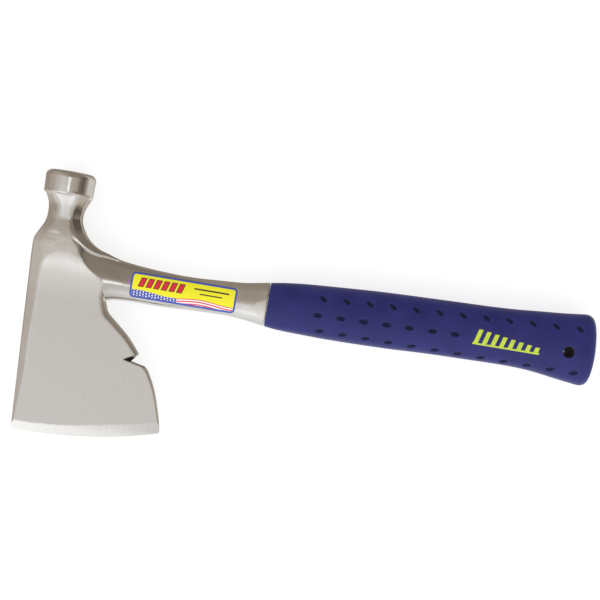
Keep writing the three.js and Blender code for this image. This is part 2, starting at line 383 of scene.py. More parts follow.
# Shank, as functions of x
shank_top = through((2, 25), (11.8, 26.5), (16.3, 20.1), (21, 16.7), (27.9, 14.2), (35.8, 11.8),
                    (48.2, 10.1), (63, 9), (80, 8.6), (98.7, 9.6), (110, 10.4), (118, 11.7),
                    (125.2, 13))
shank_bottom = through((2, -26), (22, -19), (32, -13.2), (42, -11.6), (66, -11.4), (85, -10.6),
                       (102, -10.3), (114, -11.2), (125.2, -12.7))
shank_half = through((2, 13), (12, 10.9), (16, 9.8), (20, 8.95), (24, 8.4), (28, 7.95), (34, 7.4),
                     (42, 6.9), (52, 6.5), (66, 6.3), (90, 6.3), (108, 6.9), (118, 8), (125.2, 8.9))

# Front of the head from the cutting edge up to the poll, each as a function of y
front_edge = through((-100, -10.6), (-47, -12.9), (-4, -14.7), (13, -15.3), (16.5, -15.1),
                     (19, -14.2), (22, -12.7), (26.2, -10.7), (30, -9.8), (35, -9.8), (38.5, -10.3),
                     (42, -11.6), (45, -13.2))
face_half = through((-90, 1.9), (-50, 4.75), (-10, 7.45), (-3, 7.95), (1, 8.3), (4, 8.75), (7, 9.3),
                    (9.5, 9.52), (13, 9.53), (17, 9.47), (24, 9.35), (29, 9.28), (33, 9.45),
                    (37, 10.1), (40, 11), (43, 12.4), (46, 14))
facet_slope = through((-100, 0.45), (8, 0.45), (16, 0.5), (20, 0.64), (25, 0.95), (45, 1.1))
facet_foot = through((-90, 1.2), (-80, 1.5), (-60, 2.1), (-40, 3.2), (-20, 3.9), (0, 4.8), (8, 5.1),
                     (14, 4.9), (18, 4.5), (22, 3.9), (26, 3.3), (31, 2.9), (38, 3.3), (45, 7))
facet_blend = through((-90, 0.2), (-20, 0.6), (4, 1.1), (12, 2), (20, 2.8), (28, 3.2), (45, 3.2))

# How much of the arch's bow there is at each y: none down the cheek or up on the neck
arch_share = through((-2, 0), (8, 1), (17, 1), (28, 0))

# Rear outline of the head, and its narrow chamfer's width and slope, as functions of y
rear_edge_low = through((-90, 75.9), (-83, 75.2), (-74.2, 72.9), (-60.4, 68.2), (-49.7, 62.5),
                        (-47.9, 60.7), (-41.2, 55.8))
rear_edge_high = through((-47.9, 60.7), (-41.2, 55.8), (-32.4, 48.3), (-25.4, 40.3), (-20.2, 34.2),
                         (-16, 32.1), (-10, 30), (-1.5, 25), (4.5, 18.9), (9.8, 14.7), (14.5, 10.4),
                         (17, 8.9), (20, 7.6), (24, 5.8), (28, 4.4))
rear_roll = through((-90, 0.4), (-50, 0.6), (-46, 0.9), (-40, 1.3), (-30, 1.6), (-20, 1.8), (-12, 1.8),
                    (-4, 1.2), (3, 0.3))
rear_slope = through((-90, 0.6), (-28, 0.55), (-18, 0.45), (-8, 0.4), (2, 0.5), (10, 0.6))

# Steepness of the ground edge bevel, as a function of x
bevel_slope = through((-11, 0.32), (20, 0.29), (45, 0.29), (75, 0.4))

# Corner between the neck and the shank, as functions of the angle about its centre in degrees
corner_radius = through((150, 20.4), (166.5, 20.6), (187, 22), (195, 22.4), (260, 22.2), (270, 23.1),
                        (279, 24.5), (302, 30.5))
crest_half = through((155, 14), (165, 12.3), (175, 10.6), (185, 9.9), (200, 9.7), (215, 9.6),
                     (225, 9.2), (235, 8.5), (250, 7), (262, 5.6), (275, 4))
crest_inset = through((155, 5), (195, 5), (205, 4.9), (215, 4.6), (225, 4.1), (235, 3.4), (250, 2.4),
                      (262, 1.5), (275, 0.9))
crest_fall = through((208, 0), (215, 0.12), (223, 0.8), (235, 0.95), (280, 0.95))


def skin(x, y, z):
    """The ground cheeks and the neck's front, with the facet along the head's front edge."""
    inset = (x - front_edge(y)) / lean(front_edge, y)
    spare = np.where(y > CLEAR_ABOVE_Y, CLEAR_SLOPE * np.maximum(x - CLEAR_FROM_X, 0), 0)
    arch = ARCH_BOW * np.clip(x - ARCH_X, -16, 8) ** 2 * arch_share(y)
    face = (np.abs(z) - face_half(y + arch) - spare) / lean(face_half, y)
    slope = facet_slope(y)
    foot = facet_foot(y)
    facet = (np.abs(z) - foot - slope * inset) / np.sqrt(1 + slope * slope)
    return both(both(face, facet, facet_blend(y)), -inset, blend=0.25 * foot)


def shank_oval(x, y, z):
    """The shank's oval. Its crown lies a little below the middle."""
    middle = (shank_top(x) + shank_bottom(x)) / 2
    place = (y - middle) / (shank_top(x) - middle)
    crown = CROWN_DROP * np.clip(1 - place * place, 0, 1)
    return oval(y + crown, z, shank_top(x), shank_bottom(x), shank_half(x), SHANK_ROUNDNESS)


def nail_notch(x, y, z):
    """The V through the rear edge. Its upper wall leans, so it opens out towards both cheeks."""
    depth = np.clip(np.abs(z) / NOTCH_CHEEK_Z, 0, 1)
    tip_x = NOTCH_TIP[0] - NOTCH_CHEEK_RUN * depth
    rise = NOTCH_MOUTH_RISE + NOTCH_CHEEK_RISE * depth
    up = y - NOTCH_TIP[1]
    upper = up - (x - tip_x) * rise / (NOTCH_MOUTH_X - tip_x)
    lower = -up - (x - NOTCH_TIP[0]) * NOTCH_LOWER_SLOPE
    return both(upper / NOTCH_UPPER_STRETCH, lower / NOTCH_LOWER_STRETCH, blend=0.2)


def rear_distance(x, y):
    """Distance behind the head's rear edge, which has one curve below the notch and one above."""
    low = (x - rear_edge_low(y)) / lean(rear_edge_low, y)
    high = (x - rear_edge_high(y)) / lean(rear_edge_high, y)
    return np.where(y < NOTCH_MIDDLE_Y, low, high)


def blade(x, y, z):
    """The wedge between the cheeks, cut to its outline, with the ground bevel and the notch."""
    rear = rear_distance(x, np.minimum(y, REAR_TOP_Y))
    front = (front_edge(y) - x) / lean(front_edge, y)
    ahead = np.hypot(x - EDGE_CENTRE[0], y - EDGE_CENTRE[1]) - EDGE_RADIUS
    slope = bevel_slope(x)
    bevel = (np.abs(z) - EDGE_HALF_THICKNESS + slope * ahead) / np.sqrt(1 + slope * slope)
    fall = rear_slope(y)
    rolled = (np.abs(z) - face_half(y) + fall * (rear + rear_roll(y))) / np.sqrt(1 + fall * fall)
    body = both(skin(x, y, z), rolled, blend=0.8 * rear_roll(y) * fall)
    body = both(body, rear, blend=0.2)
    body = both(body, bevel, blend=0.12)
    body = both(body, both(ahead, both(front, rear), blend=1.6), blend=0.1)
    body = both(body, y - BLADE_TOP_Y)
    return both(body, -nail_notch(x, y, z), blend=0.25)


def neck(x, y, z):
    """The bar between head and poll. Its rear chamfer sweeps round as a ridge on the shank."""
    across = x - CORNER_CENTRE[0]
    up = y - CORNER_CENTRE[1]
    turn = np.degrees(np.arctan2(up, across)) % 360
    inset = np.hypot(across, up) - corner_radius(turn)
    crest = crest_half(turn)
    beyond = inset - crest_inset(turn)
    fall = crest_fall(turn)
    outer = (np.abs(z) - crest - NECK_CHAMFER_SLOPE * beyond) / math.hypot(1, NECK_CHAMFER_SLOPE)
    inner = (np.abs(z) - crest + fall * beyond) / np.sqrt(1 + fall * fall)
    soft = np.interp(turn, [200, 225], [1.5, 0.5])
    body = both(both(skin(x, y, z), outer, blend=soft), inner, blend=0.5)
    body = both(body, -inset, blend=0.15)
    return both(body, both(y - NECK_TOP_Y, x - NECK_REAR_X), blend=0.5)


def poll(x, y, z):
    """The round hammer face, turned about the y axis."""
    radius = np.hypot(x, z)
    side = radius - POLL_RADIUS + POLL_TAPER * (POLL_WIDEST_Y - y)
    out, up = POLL_CHAMFER_FACING
    chamfer = (radius - POLL_CHAMFER_RADIUS) * out + (y - POLL_FACE_Y) * up
    face = y - POLL_FACE_Y + POLL_CROWN * (radius / POLL_RADIUS) ** 2
    out, down = POLL_SHOULDER_FACING
    shoulder = (radius - POLL_SHOULDER[0]) * out + (POLL_SHOULDER[1] - y) * down
    body = both(both(side, chamfer, blend=1.2), face, blend=0.5)
    body = both(body, shoulder, blend=0.7)
    return both(body, POLL_BASE_Y - y, blend=0.5)


def tang(x, y, z, extra=0.0):
    """The flat tapered bar inside the grip, grown by extra on every side."""
    middle = (grip_top(x) + grip_bottom(x)) / 2
    size = 1 - TANG_TAPER * np.clip((x - GRIP_MOUTH_X) / (TANG_END_X - GRIP_MOUTH_X), 0, 1)
    tall = np.abs(y - middle) - TANG_HALF_HEIGHT * size - extra
    thick = np.abs(z) - TANG_HALF_THICKNESS - extra
    ends = both(x - TANG_END_X - extra, TANG_START_X - x)
    body = both(both(tall, thick, blend=1.2), ends, blend=1)
    key_hole = np.hypot(x - KEY_HOLE_X, y - middle) - KEY_HOLE_RADIUS + extra
    return both(body, -key_hole, blend=0.4)


def forging(x, y, z):
    """The whole steel piece: head, neck, poll, shank and tang."""
    bar = shank_oval(np.clip(x, 2, GRIP_MOUTH_X), y, z)
    bar = both(bar, both(SHANK_START_X - x, x - GRIP_MOUTH_X), blend=0.5)
    body = either(blade(x, y, z), bar, blend=1.2)
    body = either(body, neck(x, y, z), blend=0.4)
    body = both(body, skin(x, y, z), blend=0.06)
    body = either(body, poll(x, y, z), blend=1.0)
    return either(body, tang(x, y, z))


# ---------------------------------------------------------------- grip

GRIP_ROUNDNESS = 2.35
ABOVE_GRIP_Z = 16

# The butt bulges a little about this y, and leans towards the head above it
BUTT_MIDDLE_Y = 2
BUTT_BULGE = 0.5
BUTT_LEAN = 0.6

# The hang hole leans towards the head as it goes back from its front mouth
HOLE_X = 301.7
HOLE_Y = 1.75
HOLE_FRONT_Z = 14
HOLE_RADIUS = 3.3
HOLE_LEAN = 0.065

# Rows of dimples: first centre, last centre, how many, turn from the handle in degrees
DIMPLE_ROWS = [
    ((157.1, 8.9), (306.1, 16.1), 12, -38),
    ((155.4, -1.1), (235.5, 1.2), 7, 0),
    ((157.8, -10.1), (306.6, -9.8), 12, 20),
]
DIMPLE_HALF_LENGTH = 2.8
DIMPLE_HALF_WIDTH = 1.5
DIMPLE_DEPTH = 1.0
DIMPLE_REACH = 4

# Where the butt's rounding starts, so that it isn't taken for a dimple
LAST_DIMPLE_X = 311

grip_top = through((125.2, 13), (133.5, 14.3), (145, 15.6), (168, 17.2), (192, 18.6), (227, 19.8),
                   (263, 21), (286, 22.8), (300, 24), (317.6, 26.2))
grip_bottom = through((125.2, -12.7), (133, -13.6), (150, -14.2), (168, -14.4), (197, -13.9),
                      (221, -12.9), (245, -12.4), (268, -12.1), (283, -12.8), (300, -15.1),
                      (317.6, -17.3))
grip_half = through((125.2, 8.9), (138, 11.2), (155, 12.6), (175, 13), (215, 12.7), (250, 12.3),
                    (275, 12.8), (298, 13.9), (317.6, 14.2))


def butt_end(y):
    """The x of the butt's end."""
    up = y - BUTT_MIDDLE_Y
    return GRIP_END_X - BUTT_BULGE * (up / 12) ** 2 - BUTT_LEAN * np.maximum(up, 0) / 22


def grip_oval(x, y, z):
    """The grip's plain oval, without dimples or ends."""
    x = np.clip(x, 120, 320)
    return oval(y, z, grip_top(x), grip_bottom(x), grip_half(x), GRIP_ROUNDNESS)


def dimple_at(x, y, turn):
    """Centre, long axis, short axis and outward direction of a dimple in the grip's front."""
    z = surface_height(grip_oval, np.array([x]), np.array([y]), ABOVE_GRIP_Z)[0]
    centre = np.array([x, y, z])
    out = gradient(grip_oval, centre[None])[0]
    along = np.cross([0, 1, 0], out)
    along /= np.linalg.norm(along)
    across = np.cross(out, along)
    angle = math.radians(turn)
    long_axis = math.cos(angle) * along + math.sin(angle) * across
    return centre, long_axis, np.cross(out, long_axis), out


def make_dimples():
    """Every row's dimples, each on the front and mirrored on the back."""
    found = []
    for first, last, count, turn in DIMPLE_ROWS:
        for part in np.linspace(0, 1, count):
            x = first[0] + part * (last[0] - first[0])
            y = first[1] + part * (last[1] - first[1])
            dimple = dimple_at(x, y, turn)
            for side in (1, -1):
                mirror = np.array([1, 1, side])
                found.append([vector * mirror for vector in dimple])
    return found


dimples = make_dimples()


def dimple_field(x, y, z, body):
    """Presses the dimples, which are ellipsoids, into the body."""
    for centre, long_axis, short_axis, out in dimples:
        if x.max() < centre[0] - DIMPLE_REACH or x.min() > centre[0] + DIMPLE_REACH:
            continue
        dx, dy, dz = x - centre[0], y - centre[1], z - centre[2]
        u = (dx * long_axis[0] + dy * long_axis[1] + dz * long_axis[2]) / DIMPLE_HALF_LENGTH
        v = (dx * short_axis[0] + dy * short_axis[1] + dz * short_axis[2]) / DIMPLE_HALF_WIDTH
        w = (dx * out[0] + dy * out[1] + dz * out[2]) / DIMPLE_DEPTH
        reach = np.sqrt(u * u + v * v + w * w) + TINY
        steep = (u / DIMPLE_HALF_LENGTH) ** 2 + (v / DIMPLE_HALF_WIDTH) ** 2 + (w / DIMPLE_DEPTH) ** 2
        hollow = (reach - 1) / np.maximum(np.sqrt(steep) / reach, 0.2)
        body = both(body, -np.clip(hollow, -3, 3), blend=0.35)
    return body


def grip_field(x, y, z):
    """The moulded sleeve: oval, rounded butt, soft mouth, dimples, hang hole and tang cavity."""
    body = grip_oval(x, y, z)
    body = both(body, x - butt_end(y), blend=6)
    body = both(body, GRIP_MOUTH_X + 0.3 - x, blend=0.9)
    body = dimple_field(x, y, z, body)
    leant = HOLE_LEAN * (HOLE_FRONT_Z - z)
    hole = np.hypot(x - HOLE_X + leant, y - HOLE_Y) - HOLE_RADIUS
    body = both(body, -hole, blend=0.8)
    return both(body, -tang(x, y, z, extra=0.3))


# ---------------------------------------------------------------- node helpers

def set_inputs(tree, made, inputs):
    """Sets a node's inputs to numbers, colours or other nodes' outputs."""
    for key, value in inputs.items():
        if isinstance(value, bpy.types.NodeSocket):
            tree.links.new(value, made.inputs[key])
        else:
            made.inputs[key].default_value = value


def node(tree, kind, inputs=None, **settings):
    """Adds a shader node."""
    made = tree.nodes.new("ShaderNode" + kind)
    for key, value in settings.items():
        setattr(made, key, value)
    set_inputs(tree, made, inputs or {})
    return made


def calc(tree, operation, *values):
    """The result of a Math node."""
    return node(tree, "Math", dict(enumerate(values)), operation=operation).outputs[0]


def between_two(tree, part, low, high):
    """The number low where part is 0 and high where it is 1."""
    return calc(tree, "MULTIPLY_ADD", part, calc(tree, "SUBTRACT", high, low), low)


def hypotenuse(tree, a, b):
    """The square root of a * a + b * b."""
    squares = calc(tree, "ADD", calc(tree, "MULTIPLY", a, a), calc(tree, "MULTIPLY", b, b))
    return calc(tree, "SQRT", squares)


def mix(tree, part, low, high):
    """The colour low where part is 0 and high where it is 1."""
    return node(tree, "Mix", {0: part, 6: low, 7: high}, data_type="RGBA").outputs[2]


def remap(tree, value, low, high, to_low, to_high):
    """A smooth step from to_low to to_high as the value goes from low to high."""
    inputs = {"Value": value, 1: low, 2: high, 3: to_low, 4: to_high}
    return node(tree, "MapRange", inputs, interpolation_type="SMOOTHSTEP").outputs[0]


def band(tree, value, low, high, soft=0.12):
    """1 where the value is between low and high, 0 elsewhere, with soft limits."""
    rise = remap(tree, value, low - soft, low + soft, 0.0, 1.0)
    fall = remap(tree, value, high - soft, high + soft, 1.0, 0.0)
    return calc(tree, "MULTIPLY", rise, fall)


def noise(tree, place, scale, detail=3.0, stretch=(1, 1, 1), turn=0.0):
    """Noise with features 1 / scale metres across, squeezed by stretch after a turn about z."""
    spun = node(tree, "Mapping", {"Vector": place, "Rotation": (0, 0, turn), "Scale": stretch},
                vector_type="POINT").outputs[0]
    inputs = {"Vector": spun, "Scale": scale, "Detail": detail, "Roughness": 0.55}
    return node(tree, "TexNoise", inputs).outputs["Fac"]


def new_material(name):
    """A material, its node tree, its shader and the object's own coordinates in metres."""
    material = bpy.data.materials.new(name)
    material.use_nodes = True
    tree = material.node_tree
    place = node(tree, "TexCoord").outputs["Object"]
    return material, tree, tree.nodes["Principled BSDF"], place


def attribute(tree, name):
    """A number that paint() stored on the mesh."""
    return node(tree, "Attribute", attribute_name=name).outputs["Fac"]


def bump(tree, height, distance, strength, normal=None):
    """Fine relief, laid over the relief of the normal that is passed on."""
    inputs = {"Height": height, "Distance": distance, "Strength": strength}
    if normal is not None:
        inputs["Normal"] = normal
    return node(tree, "Bump", inputs).outputs[0]


def packed(axis, value):
    """A design-frame place along an axis (0 is x, 1 is y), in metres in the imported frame."""
    return (SHIFT[axis] + value) * MM


# ---------------------------------------------------------------- steel material

GRAIN_TURN = math.radians(-8)
SCRATCH_TURN = math.radians(12)


def steel_color(tree, place, grain, cloud):
    """Streaked cheeks with a painted highlight that lightens them towards the arch, greyer polish, pale
    bevel and worn edges, and painted shade darkening the notch.
    """
    y = node(tree, "SeparateXYZ", {0: place}).outputs[1]
    streaks = remap(tree, grain, 0.3, 0.7, 0.0, 1.0)
    # Painted highlight: the ground cheek's colour runs from darker at y -20 to lighter at y 9, standing
    # in for the glow of reflected light near the arch.
    lower = mix(tree, streaks, (0.72, 0.705, 0.70, 1), (0.77, 0.755, 0.75, 1))
    upper = mix(tree, streaks, (0.92, 0.915, 0.91, 1), (0.98, 0.975, 0.97, 1))
    ground = mix(tree, remap(tree, y, packed(1, -20), packed(1, 9), 0.0, 1.0), lower, upper)
    edge = remap(tree, y, packed(1, -92), packed(1, -82), 0.9, 0.0)
    on_bevel = calc(tree, "MULTIPLY", edge, attribute(tree, "bevel"))
    ground = mix(tree, on_bevel, ground, (0.96, 0.955, 0.95, 1))
    polished = mix(tree, remap(tree, cloud, 0.35, 0.65, 0.0, 1.0),
                   (0.73, 0.72, 0.71, 1), (0.79, 0.78, 0.77, 1))
    color = mix(tree, attribute(tree, "ground"), polished, ground)
    worn = calc(tree, "MULTIPLY", attribute(tree, "worn"), 0.6)
    color = mix(tree, worn, color, (0.9, 0.88, 0.85, 1))
    # Painted shade: the nail notch's walls are darkened to a deep brown, standing in for the shade
    # inside the recess.
    notch_shade = calc(tree, "MULTIPLY", attribute(tree, "notch_shade"), 0.92)
    return mix(tree, notch_shade, color, (0.06, 0.045, 0.03, 1))


def steel_roughness(tree, grain, cloud):
    """Satin cheeks, smoother bevel and polish, and edges rubbed smoother still."""
    ground = remap(tree, grain, 0.25, 0.75, 0.34, 0.46)
    ground = calc(tree, "MULTIPLY_ADD", attribute(tree, "bevel"), -0.18, ground)
    polished = remap(tree, cloud, 0.3, 0.7, 0.09, 0.15)
    rough = between_two(tree, attribute(tree, "ground"), polished, ground)
    return calc(tree, "MULTIPLY_ADD", attribute(tree, "worn"), -0.06, rough)


def steel_relief(tree, place, grain):
    """Faint hammered waves, scratches across the head and the belt's grain on the cheeks."""
    fine = noise(tree, place, 1.0, 2.0, (5200, 200, 200), GRAIN_TURN)
    hammered = noise(tree, place, 130, 2.0)
    scratch = noise(tree, place, 1.0, 2.0, (420, 5200, 1500), SCRATCH_TURN)
    grain_height = calc(tree, "MULTIPLY", calc(tree, "ADD", grain, fine), attribute(tree, "ground"))
    waves = bump(tree, hammered, 0.00012, 0.5)
    lines = bump(tree, scratch, 0.00001, 0.5, waves)
    return bump(tree, grain_height, 0.00003, 0.8, lines)


def steel_material():
    """Polished forging with belt-ground cheeks: long fine grain, scratches and worn bright edges."""
    material, tree, shader, place = new_material("polished_forged_steel")
    grain = noise(tree, place, 1.0, 4.0, (2200, 90, 90), GRAIN_TURN)
    cloud = noise(tree, place, 55, 3.0)
    set_inputs(tree, shader, {
        "Base Color": steel_color(tree, place, grain, cloud),
        "Roughness": steel_roughness(tree, grain, cloud),
        "Metallic": 1.0,
        "Normal": steel_relief(tree, place, grain),
    })
    return material


# ---------------------------------------------------------------- grip and floor materials

def grip_material():
    """Moulded nylon vinyl: satin, finely pebbled, with painted shade darkening the dimples, rubbed on
    its rims.
    """
    material, tree, shader, place = new_material("moulded_blue_vinyl")
    pit = attribute(tree, "pit")
    worn = attribute(tree, "worn")
    cloud = noise(tree, place, 70, 4.0)
    pebble = noise(tree, place, 2200, 3.0)
    swirl = noise(tree, place, 1.0, 3.0, (60, 260, 260))
    base = mix(tree, remap(tree, cloud, 0.3, 0.7, 0.0, 1.0),
               (0.012, 0.0125, 0.125, 1), (0.017, 0.018, 0.155, 1))
    base = mix(tree, calc(tree, "MULTIPLY", worn, 0.35), base, (0.05, 0.05, 0.20, 1))
    # Painted shade: the colour darkens with each dimple's depth, standing in for the shade inside the
    # hollows.
    base = mix(tree, calc(tree, "MULTIPLY", pit, 0.85), base, (0.004, 0.004, 0.028, 1))
    rough = remap(tree, calc(tree, "ADD", cloud, pebble), 0.7, 1.3, 0.40, 0.54)
    set_inputs(tree, shader, {
        "Base Color": base,
        "Roughness": calc(tree, "MULTIPLY_ADD", pit, 0.4, rough),
        "Specular IOR Level": 0.34,
        "Sheen Weight": 0.1,
        "Sheen Roughness": 0.45,
        "Normal": bump(tree, pebble, 0.00004, 0.45, bump(tree, swirl, 0.00015, 0.35)),
    })
    return material


def mark_material():
    """Yellow-green printed ink, thin enough to take up the vinyl's texture."""
    material, tree, shader, place = new_material("printed_ink")
    pebble = noise(tree, place, 2200, 3.0)
    patch = noise(tree, place, 600, 3.0)
    set_inputs(tree, shader, {
        "Base Color": mix(tree, remap(tree, patch, 0.35, 0.7, 0.0, 1.0),
                          (0.56, 0.69, 0.035, 1), (0.47, 0.58, 0.06, 1)),
        "Roughness": remap(tree, patch, 0.3, 0.7, 0.42, 0.55),
        "Normal": bump(tree, pebble, 0.00003, 0.4),
    })
    return material


def floor_material():
    """A pale matt floor that glows a little, so that it stays white to its edges."""
    material, tree, shader, place = new_material("pale_floor")
    set_inputs(tree, shader, {
        "Base Color": mix(tree, noise(tree, place, 3, 2.0),
                          (0.38, 0.38, 0.38, 1), (0.40, 0.40, 0.40, 1)),
        "Roughness": 0.85,
        "Specular IOR Level": 0.2,
        "Emission Color": (1, 1, 1, 1),
        "Emission Strength": 0.7,
    })
    return material


# ---------------------------------------------------------------- label material

LABEL = {"left": 45.2, "right": 107.3, "bottom": -8.4, "top": 6.4, "corner": 2.5, "border": 1.1}

# Inks
YELLOW = (0.89, 0.83, 0.012, 1)
BLUE = (0.055, 0.085, 0.42, 1)
RED = (0.72, 0.018, 0.045, 1)
DARK = (0.045, 0.02, 0.03, 1)
WHITE = (0.86, 0.86, 0.88, 1)

# The print's parts, in mm from the label's left and bottom sides
BAR_ROW = {"left": 1.9, "right": 28.9, "bottom": 6.6, "top": 12.2, "pitch": 4.5, "lean": -0.3}
BAR_EDGE = 0.4
BAR_OUTLINE = (0.35, 3.75)
BAR_INK = (0.8, 3.3)
RULE_HIGH = {"left": 37, "right": 57.5, "bottom": 10.2, "top": 11.1}
RULE_LOW = {"left": 40.5, "right": 54, "bottom": 7.6, "top": 8.3}
WAVE = {"middle": 4.0, "height": 0.75, "turn_per_mm": 0.175, "start": 0.6}
STRIPE_PITCH = 1.5
DOT_PITCH = {"x": 1.8, "y": 1.5}
DOTS_END = 27.6


def print_rule(tree, u, v, rule):
    """1 inside an upright rectangle of the print."""
    across = band(tree, u, rule["left"], rule["right"])
    return calc(tree, "MULTIPLY", across, band(tree, v, rule["bottom"], rule["top"]))


def print_bars(tree, u, v):
    """Red bars with a dark edge on yellow, all leaning the same way."""
    slanted = calc(tree, "MULTIPLY_ADD", v, BAR_ROW["lean"], u)
    in_row = calc(tree, "SUBTRACT", slanted, BAR_ROW["left"])
    step = calc(tree, "MODULO", in_row, BAR_ROW["pitch"])
    inner_row = dict(BAR_ROW, bottom=BAR_ROW["bottom"] + BAR_EDGE, top=BAR_ROW["top"] - BAR_EDGE)
    outer = band(tree, step, *BAR_OUTLINE)
    outline = calc(tree, "MULTIPLY", outer, print_rule(tree, slanted, v, BAR_ROW))
    inner = band(tree, step, *BAR_INK)
    bars = calc(tree, "MULTIPLY", inner, print_rule(tree, slanted, v, inner_row))
    return mix(tree, bars, mix(tree, outline, YELLOW, DARK), RED)


def print_stripes(tree, lifted):
    """White and red stripes that follow the wave, from the height above its crest."""
    stripe = calc(tree, "MODULO", calc(tree, "ADD", lifted, 20.0), STRIPE_PITCH)
    return mix(tree, band(tree, stripe, 0.0, STRIPE_PITCH / 2), WHITE, RED)


def print_dots(tree, u, lifted):
    """White dots on blue, with every second column half a step higher."""
    pitch_x, pitch_y = DOT_PITCH["x"], DOT_PITCH["y"]
    cell_x = calc(tree, "SUBTRACT", calc(tree, "MODULO", u, pitch_x), pitch_x / 2)
    column = calc(tree, "FLOOR", calc(tree, "DIVIDE", u, pitch_x))
    shifted = calc(tree, "MULTIPLY_ADD", column, pitch_y / 2, lifted)
    shifted = calc(tree, "MODULO", calc(tree, "ADD", shifted, 30.0), pitch_y)
    cell_y = calc(tree, "SUBTRACT", shifted, pitch_y / 2)
    spot = hypotenuse(tree, cell_x, cell_y)
    return mix(tree, remap(tree, spot, 0.38, 0.55, 1.0, 0.0), BLUE, WHITE)


def print_rim(tree, u, v):
    """1 on the label's border, which goes round its corners."""
    corner = LABEL["corner"]

    def past_corner(value, half):
        centred = calc(tree, "ABSOLUTE", calc(tree, "SUBTRACT", value, half))
        return calc(tree, "MAXIMUM", calc(tree, "SUBTRACT", centred, half - corner), 0.0)

    reach = hypotenuse(tree, past_corner(u, (LABEL["right"] - LABEL["left"]) / 2),
                       past_corner(v, (LABEL["top"] - LABEL["bottom"]) / 2))
    inner = corner - LABEL["border"]
    return remap(tree, reach, inner - 0.1, inner + 0.1, 0.0, 1.0)


def label_material():
    """Printed vinyl: blue rim, yellow ground, red bars, two dark rules, dots and wavy stripes."""
    material, tree, shader, place = new_material("printed_label")
    split = node(tree, "SeparateXYZ", {0: place}).outputs
    from_left = calc(tree, "SUBTRACT", split[0], packed(0, LABEL["left"]))
    from_bottom = calc(tree, "SUBTRACT", split[1], packed(1, LABEL["bottom"]))
    u = calc(tree, "MULTIPLY", from_left, 1000)
    v = calc(tree, "MULTIPLY", from_bottom, 1000)

    rules = calc(tree, "MAXIMUM", print_rule(tree, u, v, RULE_HIGH), print_rule(tree, u, v, RULE_LOW))
    color = mix(tree, rules, print_bars(tree, u, v), DARK)
    wave = calc(tree, "SINE", calc(tree, "MULTIPLY_ADD", u, WAVE["turn_per_mm"], WAVE["start"]))
    crest = calc(tree, "MULTIPLY_ADD", wave, WAVE["height"], WAVE["middle"])
    below = remap(tree, calc(tree, "SUBTRACT", crest, v), -0.12, 0.12, 0.0, 1.0)
    lifted = calc(tree, "SUBTRACT", v, crest)
    art = mix(tree, remap(tree, u, DOTS_END, DOTS_END + 0.3, 0.0, 1.0),
              print_dots(tree, u, lifted), print_stripes(tree, lifted))
    color = mix(tree, below, color, art)
    color = mix(tree, print_rim(tree, u, v), color, BLUE)

    wear = remap(tree, noise(tree, place, 900, 4.0), 0.66, 0.74, 0.0, 0.25)
    set_inputs(tree, shader, {
        "Base Color": mix(tree, wear, color, (0.75, 0.74, 0.7, 1)),
        "Roughness": remap(tree, noise(tree, place, 300, 3.0), 0.3, 0.7, 0.26, 0.38),
        "Normal": bump(tree, noise(tree, place, 500, 2.0), 0.00002, 0.3),
    })
    return material


# ---------------------------------------------------------------- pieces

# Grid spacing of the meshes, in mm. Each grid goes a little past its piece on every side.
STEEL_STEP = 0.6
GRIP_STEP = 0.56

# Limits of the steel's painted parts: the bevel, the notch's painted shade, the ground arch and its
# run-out above
BEVEL_TOP_Y = -78
NOTCH_PAINT_X = 64
NOTCH_PAINT_Y = -38
GROUND_TOP_Y = 12.8
GROUND_ARCH_X = 5
RUN_OUT_TOP_Y = 24
RUN_OUT_END_X = 12

# How far the printed skins stand above the surface and sink into it, and where to look for it
LABEL_LIFT = 0.1
MARK_LIFT = 0.06
SKIN_SINK = 0.05
ABOVE_SHANK_Z = 12

MARK = {"left": 246.0, "pitch": 5.0, "bar": 2.6, "bars": 8, "slant": 2.2, "base": -2.6, "stripe": 1.0,
        "tallest": 8.0, "shortest": 3.0}


def paint(piece, name, values):
    """Stores one number per corner of the mesh, for the material to read."""
    data = piece.data.attributes.new(name, "FLOAT", "POINT")
    data.data.foreach_set("value", np.asarray(values, np.float32))


def convexity(field, corner, depth=0.5):
    """0 on flat faces and up to 1 on edges that stick out, and the outward directions."""
    out = gradient(field, corner)
    return np.clip((sample(field, corner - depth * out) / depth + 1) * 3 - 0.25, 0, 1), out


def bevel_part(corner, out):
    """True on the ground bevel at the cutting edge."""
    return (corner[:, 1] < BEVEL_TOP_Y) & (out[:, 1] < -0.2)


def ground_part(corner, out):
    """1 on the belt-ground cheeks and bevels, 0 on the polished forging, soft between them."""
    x, y, z = corner.T
    inset = (x - front_edge(y)) / lean(front_edge, y)
    on_face = np.clip((np.abs(z) - face_half(y)) / 0.12 + 1.5, 0, 1)
    below_arch = GROUND_TOP_Y - ARCH_BOW * np.clip(x - GROUND_ARCH_X, -20, 12) ** 2 - y
    cheek = on_face * np.clip(below_arch / 2.5, 0, 1) * np.clip(inset - 0.3, 0, 1)
    run_out = 0.5 * np.clip((RUN_OUT_TOP_Y - y) / 6, 0, 1) * (x < RUN_OUT_END_X)
    return np.maximum(np.maximum(cheek, run_out), bevel_part(corner, out))


def notch_shade_part(corner):
    """1 on the walls of the nail notch, where painted shade darkens the colour."""
    wall = np.clip(1.2 - np.abs(sample(nail_notch, corner)) / 0.3, 0, 1)
    near = (corner[:, 0] < NOTCH_PAINT_X) & (corner[:, 1] < NOTCH_PAINT_Y)
    return np.where(near, wall, 0)


